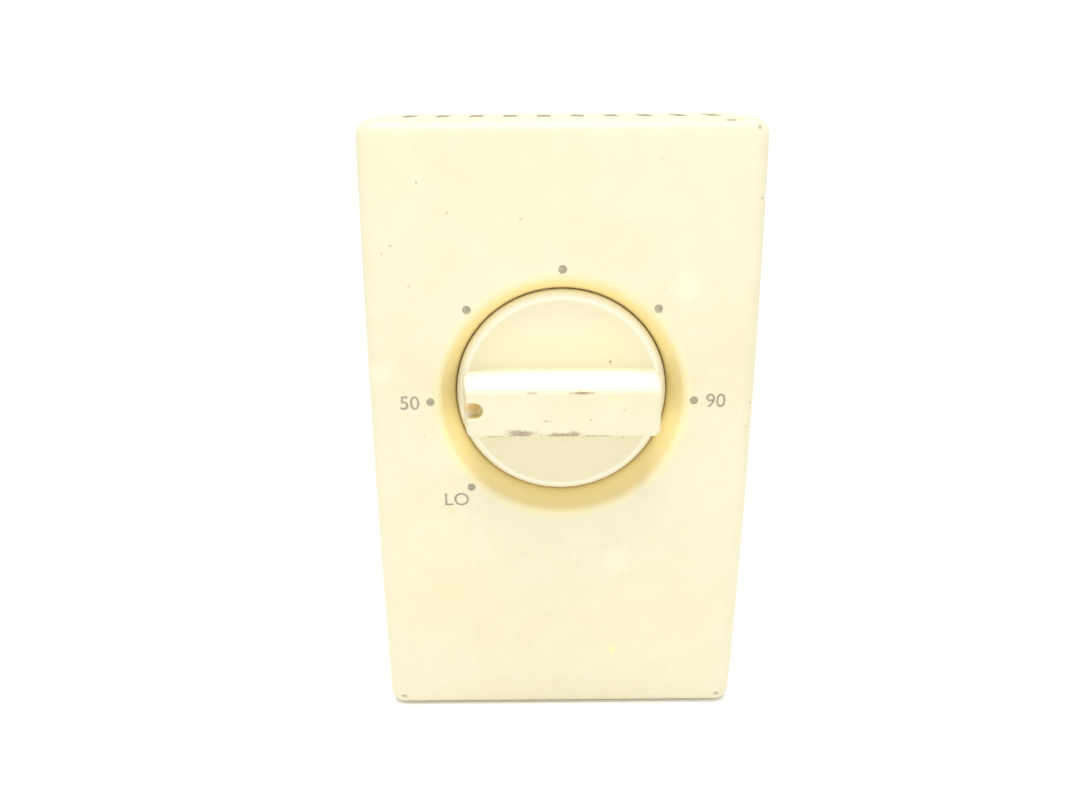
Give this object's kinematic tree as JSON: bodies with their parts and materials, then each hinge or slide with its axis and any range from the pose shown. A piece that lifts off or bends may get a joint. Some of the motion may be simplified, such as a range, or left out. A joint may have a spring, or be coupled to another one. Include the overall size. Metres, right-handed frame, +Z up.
{
  "type": "wall thermostat",
  "caption": "Line-voltage wall thermostat: ivory case with a round well, a turning grip-bar knob and a filled-capsule snap-switch mechanism on a steel wall plate.",
  "frame": {"origin": "on the wall plane, midway between the two mounting slots, which is the centre of the case's width and height", "axes": "+X to the viewer's right, +Y into the wall, +Z up; the front faces -Y"},
  "size_m": [0.07, 0.038, 0.1164],
  "materials": {
    "cover_ivory": "aged ivory moulding, satin",
    "knob_ivory": "aged ivory moulding, satin",
    "zinc_steel": "zinc-plated sheet",
    "bracket_steel": "zinc-plated pressing",
    "lever_steel": "plated pressing",
    "shaft_steel": "turned",
    "spring_steel": "spring steel",
    "screw_steel": "plated screw",
    "brass": "turned and pressed brass",
    "terminal_brass": "pressed brass",
    "capsule_brass": "formed, slightly dull",
    "bronze_strip": "rolled spring strip",
    "copper": "drawn copper tube",
    "silver": "silver contact",
    "phenolic": "moulded phenolic",
    "plunger_plastic": "moulded, red-brown",
    "ground_green": "green lacquer",
    "fibre_sheet": "vulcanised fibre"
  },
  "bodies": {
    "housing": {"cover": "cover_ivory", "mounting_plate": "zinc_steel", "bracket": "bracket_steel", "bushing": "brass", "pivot_pin": "shaft_steel", "pin_clips": "spring_steel", "capsule": "capsule_brass", "capsule_seat": "brass", "seat_rivets": "brass", "fill_tube": "copper", "switch_body": "phenolic", "switch_cover": "phenolic", "switch_cover_screws": "screw_steel", "switch_mount_screws": "screw_steel", "fixed_contact": "silver", "line_terminal": "brass", "load_terminal": "brass", "terminal_clamps": "terminal_brass", "terminal_screws": "terminal_brass", "insulating_liner": "fibre_sheet", "cover_screw": "screw_steel", "ground_screw": "ground_green", "ground_washer": "zinc_steel"},
    "dial": {"knob": "knob_ivory", "knob_clip": "spring_steel", "dial_shaft": "shaft_steel", "stop_washer": "zinc_steel", "shaft_clip": "spring_steel"},
    "nut": {"range_nut": "brass", "range_spring": "spring_steel"},
    "lever": {"main_lever": "lever_steel", "calibration_screw": "brass", "calibration_nut": "brass"},
    "button": {"diaphragm_button": "brass"},
    "plunger": {"switch_plunger": "plunger_plastic"},
    "blade": {"snap_blade": "bronze_strip", "moving_contact": "silver", "blade_spring": "spring_steel"}
  },
  "joints": [
    {"name": "dial_turn", "type": "hinge", "parent": "housing", "child": "dial", "pos_m": [0, -0.03, 0.0095], "axis": [0, -1, 0], "range_deg": [-180, 45]},
    {"name": "nut_slide", "type": "slide", "parent": "housing", "child": "nut", "axis": [0, 1, 0], "range_m": [-0.00026, 0.00101], "deforming": ["range_spring"]},
    {"name": "lever_tilt", "type": "hinge", "parent": "housing", "child": "lever", "pos_m": [0, -0.008, 0.027], "axis": [1, 0, 0], "range_deg": [-0.7, 0.7], "stiffness_Nm_per_rad": 0.16},
    {"name": "button_slide", "type": "slide", "parent": "housing", "child": "button", "axis": [0, 1, 0], "range_m": [-0.00024, 0.00024]},
    {"name": "plunger_slide", "type": "slide", "parent": "housing", "child": "plunger", "axis": [0, 1, 0], "range_m": [-0.0007, 0.0007]},
    {"name": "blade_tilt", "type": "hinge", "parent": "housing", "child": "blade", "pos_m": [-0.0092, -0.0098, -0.025], "axis": [0, 0, 1], "range_deg": [-4.4, 4.4], "deforming": ["blade_spring"]}
  ],
  "couplings": [
    {"joint": "nut_slide", "follows": "dial_turn", "m_per_rad": -0.00031831},
    {"joint": "button_slide", "follows": "lever_tilt", "m_per_rad": 0.0175},
    {"joint": "plunger_slide", "follows": "lever_tilt", "m_per_rad": 0.052},
    {"joint": "blade_tilt", "follows": "lever_tilt", "ratio": 5.6522}
  ]
}
